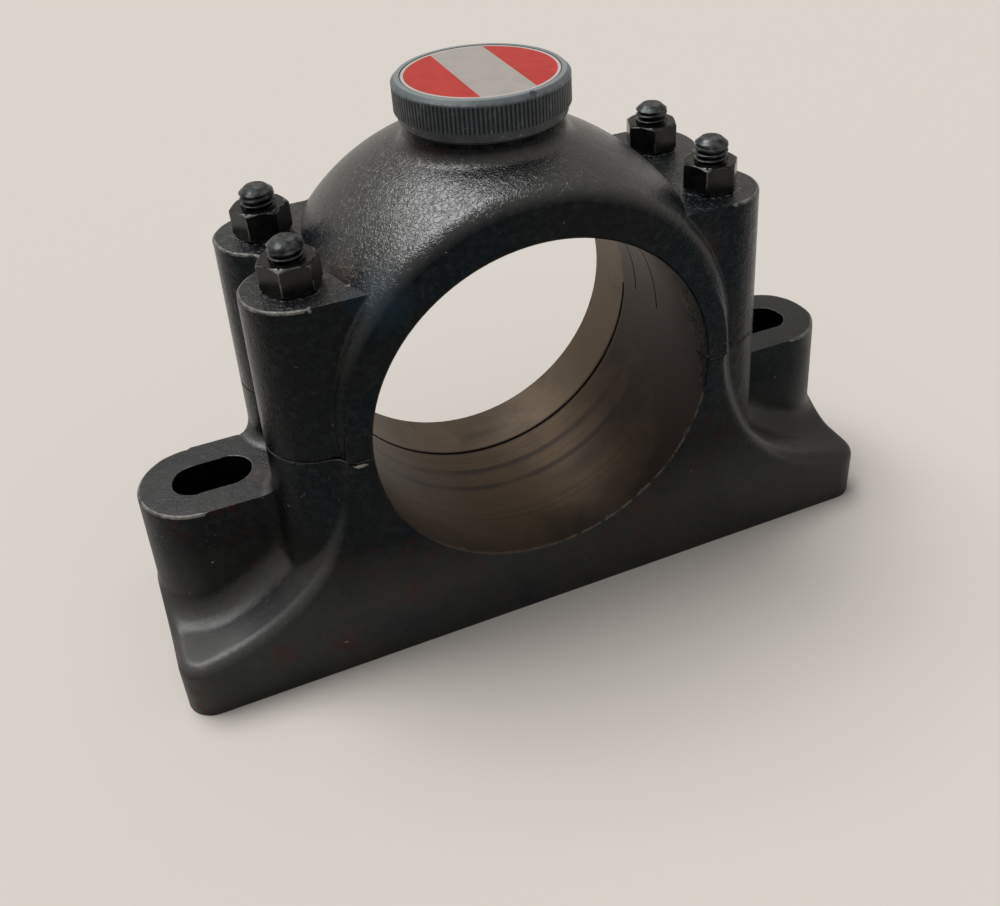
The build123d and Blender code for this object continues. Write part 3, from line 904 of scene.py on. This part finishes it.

# %% [markdown]
# ## Black oxide on studs and nuts
# Studs and nuts are steel with a black-oxide skin: a thin, dark, oily film that still shines
# as metal. A stud is rubbed brighter in patches, and painted shade darkens the roots of its
# thread, so the crests stand out. A nut is darker, and bright only where a spanner has rubbed
# its corners. Paint would hide the metal, so the colour is dark and the shader stays half
# metallic. Each nut is a copy of its solid with its outer corners bevelled, and those faces
# carry the wear.

# %% Stud finish
oxide, tree, shader, place = new_material("black_oxide_steel_stud")
rub = add(tree, "TexNoise", {"Vector": place, "Scale": per_metre(2), "Detail": 3.0})
rub = add(tree, "MapRange", {"Value": rub, "From Min": 0.4, "From Max": 0.65})
film = add(tree, "Mix", {0: rub, 6: linear("#26292b"), 7: linear("#565a5c")}, **COLOUR)
axes_split = add(tree, "SeparateXYZ", {"Vector": place}).node
offs = []
for axis, centre in (("X", stud_x), ("Y", stud_y)):
    off = add(tree, "Math", {0: axes_split.outputs[axis]}, operation="ABSOLUTE")
    offs.append(add(tree, "Math", {0: off, 1: centre}, operation="SUBTRACT"))
off = add(tree, "CombineXYZ", {"X": offs[0], "Y": offs[1]})
off = add(tree, "VectorMath", {0: off}, out=1, operation="LENGTH")
# Painted shade: the roots of the thread are darkened to near black below the tip.
groove = add(tree, "MapRange", {"Value": off, "From Min": stud_radius - 0.2 * MM,
                                "From Max": stud_radius - 0.65 * MM})
below_tip = add(tree, "MapRange", {"Value": axes_split.outputs["Z"],
                                   "From Min": stud_high.z - 1.3 * MM,
                                   "From Max": stud_high.z - 2.2 * MM})
groove = add(tree, "Math", {0: groove, 1: below_tip}, operation="MULTIPLY")
film = add(tree, "Mix", {0: groove, 6: film, 7: linear("#050505")}, **COLOUR)
skin = add(tree, "TexNoise", {"Vector": place, "Scale": per_metre(1.1111), "Detail": 2.0})
normal = add(tree, "Bump", {"Height": skin, "Distance": 0.05 * MM, "Strength": 1.0})
wire(tree, shader, {"Base Color": film, "Normal": normal, "Metallic": 0.6,
                    "Roughness": 0.32})
for node in stud_names:
    stud_form = threaded_stud(node)
    print(node, "open edges:", sum(e.is_boundary for e in stud_form.edges))
    finished_piece(stud_form, "threaded_" + node, "housing", [node], oxide)

# %% Nut finish
nut_rim, nut_core = 0.2 * MM, 6.0 * MM
nut_black, tree, shader, place = new_material("black_oxide_steel_nut")
scuff = add(tree, "TexNoise", {"Vector": place, "Scale": per_metre(3.3333), "Detail": 4.0})
scuff = add(tree, "MapRange", {"Value": scuff, "From Min": 0.45, "From Max": 0.7})
film = add(tree, "Mix", {0: scuff, 6: linear("#0e0f10"), 7: linear("#222220")}, **COLOUR)
rim = add(tree, "Attribute", out="Fac", attribute_name="rim_wear")
chafe = add(tree, "TexNoise", {"Vector": place, "Scale": per_metre(2.381), "Detail": 4.0,
                               "Roughness": 0.65})
chafe = add(tree, "MapRange", {"Value": chafe, "From Min": 0.44, "From Max": 0.58})
chafe = add(tree, "Math", {0: chafe, 1: rim}, operation="MULTIPLY")
film = add(tree, "Mix", {0: chafe, 6: film, 7: linear("#6a6963")}, **COLOUR)
skin = add(tree, "TexNoise", {"Vector": place, "Scale": per_metre(1.25), "Detail": 2.0})
normal = add(tree, "Bump", {"Height": skin, "Distance": 0.04 * MM, "Strength": 1.0})
wire(tree, shader, {"Base Color": film, "Normal": normal, "Metallic": 0.5,
                    "Roughness": 0.26})
for node in nut_names:
    nut_form = merged_copy(node)
    wear = nut_form.faces.layers.float.new("rim_wear")
    outer = [e for e in corner_edges(nut_form) if from_stud(middle(e)) > nut_core]
    soften(nut_form, outer, nut_rim, wear, 1.0)
    finished_piece(nut_form, "rounded_" + node, "housing", [node], nut_black)

# %% [markdown]
# ## The screw plug
# The plug is a die-cast cap in a smoother slate enamel, rubbed bright along its bevelled rim,
# which is also painted lighter as if lit from above and carries a painted highlight on its
# upper corner, with one nick where a strap wrench slipped. Ribs drawn by a bump pattern would
# leave its outline round, so they are real in the solid already, and the plug only needs a
# finish. Masks by height find the rim, and the distance from the axis finds the grooves.

# %% Plug finish
band_drop = 8.9 * MM
plug_enamel, tree, shader, place = new_material("slate_enamel_on_die_cast_plug")
axes_split = add(tree, "SeparateXYZ", {"Vector": place}).node
x, y, z = (axes_split.outputs[name] for name in "XYZ")
flecks = add(tree, "TexNoise", {"Vector": place, "Scale": per_metre(2.381), "Detail": 5.0,
                                "Roughness": 0.7})
rubs = add(tree, "MapRange", {"Value": flecks, "From Min": 0.40, "From Max": 0.62})
paint = add(tree, "Mix", {0: rubs, 6: linear("#171d21"), 7: linear("#2e373c")}, **COLOUR)

# The grooves between the ribs are dusty, down to the plain band below them.
from_axis = add(tree, "CombineXYZ", {"X": x, "Y": y})
from_axis = add(tree, "VectorMath", {0: from_axis}, out=1, operation="LENGTH")
groove = add(tree, "MapRange", {"Value": from_axis, "From Min": plug_radius - 0.15 * MM,
                                "From Max": plug_radius - 0.5 * MM})
above_band = add(tree, "MapRange", {"Value": z, "From Min": plug_z - band_drop,
                                    "From Max": plug_z - band_drop + 0.4 * MM})
groove = add(tree, "Math", {0: groove, 1: above_band}, operation="MULTIPLY")
paint = add(tree, "Mix", {0: groove, 6: paint, 7: linear("#525c62")}, **COLOUR)
bright = add(tree, "MapRange", {"Value": flecks, "From Min": 0.62, "From Max": 0.70})
paint = add(tree, "Mix", {0: bright, 6: paint, 7: linear("#79817f")}, **COLOUR)

# The bevel is rubbed and also painted lighter where the top light falls, and a painted
# highlight makes its upper corner the brightest line.
near_rim = add(tree, "MapRange", {"Value": z, "From Min": plug_z - 1.9 * MM,
                                  "From Max": plug_z - 1.1 * MM})
rubbed_and_lit_bevel = add(tree, "MapRange", {"Value": rubs, "To Min": 0.35, "To Max": 1.0})
rubbed_and_lit_bevel = add(tree, "Math", {0: rubbed_and_lit_bevel, 1: near_rim}, operation="MULTIPLY")
paint = add(tree, "Mix", {0: rubbed_and_lit_bevel, 6: paint, 7: linear("#626b6f")}, **COLOUR)
rim_highlight_line = add(tree, "MapRange", {"Value": z, "From Min": plug_z - 0.25 * MM,
                                  "From Max": plug_z - 0.1 * MM, "To Max": 0.7})
paint = add(tree, "Mix", {0: rim_highlight_line, 6: paint, 7: linear("#8d9494")}, **COLOUR)
nick_place = Vector((5.4, -22.6, 157.9)) * MM
nick = add(tree, "VectorMath", {0: place, 1: nick_place}, out=1, operation="DISTANCE")
nick = add(tree, "Math", {0: flecks, 1: -1.6 * MM, 2: nick}, operation="MULTIPLY_ADD")
nick = add(tree, "MapRange", {"Value": nick, "From Min": 0.4 * MM, "From Max": 0.0})
paint = add(tree, "Mix", {0: nick, 6: paint, 7: linear("#3a444a")}, **COLOUR)

skin = add(tree, "TexNoise", {"Vector": place, "Scale": per_metre(1.4286), "Detail": 2.0})
relief = add(tree, "Math", {0: nick, 1: -6.0, 2: skin}, operation="MULTIPLY_ADD")
normal = add(tree, "Bump", {"Height": relief, "Distance": 0.06 * MM, "Strength": 1.0})
wire(tree, shader, {"Base Color": paint, "Normal": normal, "Roughness": 0.4})
coat("filler_plug", plug_enamel)
print("plug nodes:", len(tree.nodes))

# %% [markdown]
# ## The label
# The label is printed foil: a silver band between two red fields, inside a narrow pale border,
# dulled by age, with painted shade darkening its outer edge for the dark line of the groove
# round it. It could be a picture on a flat disc, but two straight lines and a circle are easy
# to draw with nodes and stay sharp at any distance: one mask compares x with the band's edges,
# the other the distance from the plug's axis with the border.

# %% Label finish
band_left, band_right = -7.4 * MM, 8.0 * MM
border = 0.9 * MM
label_print, tree, shader, place = new_material("printed_foil_label")
axes_split = add(tree, "SeparateXYZ", {"Vector": place}).node
x, y = axes_split.outputs["X"], axes_split.outputs["Y"]
flat_place = add(tree, "CombineXYZ", {"X": x, "Y": y})
from_centre = add(tree, "VectorMath", {0: flat_place}, out=1, operation="LENGTH")
printed = add(tree, "Math", {0: from_centre, 1: label_radius - border},
              operation="LESS_THAN")
left_field = add(tree, "Math", {0: x, 1: band_left}, operation="LESS_THAN")
right_field = add(tree, "Math", {0: x, 1: band_right}, operation="GREATER_THAN")
red = add(tree, "Math", {0: left_field, 1: right_field}, operation="ADD")
red = add(tree, "Math", {0: red, 1: printed}, operation="MULTIPLY")
age = add(tree, "TexNoise", {"Vector": place, "Scale": per_metre(5.2632), "Detail": 5.0,
                             "Roughness": 0.65})
foil = add(tree, "Mix", {0: printed, 6: linear("#c4beb8"), 7: linear("#aca59e")}, **COLOUR)
dull = add(tree, "MapRange", {"Value": age, "From Min": 0.45, "From Max": 0.75,
                              "To Max": 0.35})
foil = add(tree, "Mix", {0: dull, 6: foil, 7: linear("#8d8780")}, **COLOUR)
ink = add(tree, "MapRange", {"Value": age, "From Min": 0.35, "From Max": 0.65})
ink = add(tree, "Mix", {0: ink, 6: linear("#bf3a33"), 7: linear("#b2332d")}, **COLOUR)
print_colour = add(tree, "Mix", {0: red, 6: foil, 7: ink}, **COLOUR)
# Painted shade: a ring at the label's outer edge is darkened for the dark line of the groove.
edge_groove_shade = add(tree, "MapRange", {"Value": from_centre, "From Min": label_radius - 0.3 * MM,
                                   "From Max": label_radius})
print_colour = add(tree, "Mix", {0: edge_groove_shade, 6: print_colour, 7: linear("#6f6b67")},
                   **COLOUR)
normal = add(tree, "Bump", {"Height": age, "Distance": 0.04 * MM, "Strength": 1.0})
wire(tree, shader, {"Base Color": print_colour, "Normal": normal, "Roughness": 0.5,
                    "Specular IOR Level": 0.2})
coat("label_disc", label_print)
print("silver band:", round((band_right - band_left) / MM, 1), "mm wide")

# %% [markdown]
# ## Gasket and dowels
# The gasket is pressed fibre soaked dark with oil, and shows as a dull ring when the plug is
# up. The dowels are ground steel, and show only if the cap is taken away. Both could stay
# plain, since so little of them is seen, but a hidden part that comes into view should look
# made, so each gets one noise at the scale of its own making: fibres of 1.7 mm for the
# gasket, and for the dowels fine rings from the grinding wheel, 0.4 mm apart.

# %% Gasket and dowel finishes
gasket_fibre, tree, shader, place = new_material("oil_dark_gasket_fibre")
fibre = add(tree, "TexNoise", {"Vector": place, "Scale": per_metre(1.6667), "Detail": 3.0})
fibre = add(tree, "Mix", {0: fibre, 6: linear("#0a0908"), 7: linear("#141210")}, **COLOUR)
wire(tree, shader, {"Base Color": fibre, "Roughness": 0.7})
coat("plug_gasket", gasket_fibre)

dowel_steel, tree, shader, place = new_material("ground_steel_dowel")
marks = (per_metre(3.3333), per_metre(3.3333), per_metre(0.4))
ground = add(tree, "Mapping", {"Vector": place, "Scale": marks})
ground = add(tree, "TexNoise", {"Vector": ground, "Scale": 1.0, "Detail": 2.0})
ground = add(tree, "Mix", {0: ground, 6: linear("#7d7d7e"), 7: linear("#9c9c9d")}, **COLOUR)
wire(tree, shader, {"Base Color": ground, "Metallic": 1.0, "Roughness": 0.3})
for node in ("dowel_left", "dowel_right"):
    coat(node, dowel_steel)
print("plain finishes:", gasket_fibre.name, dowel_steel.name)
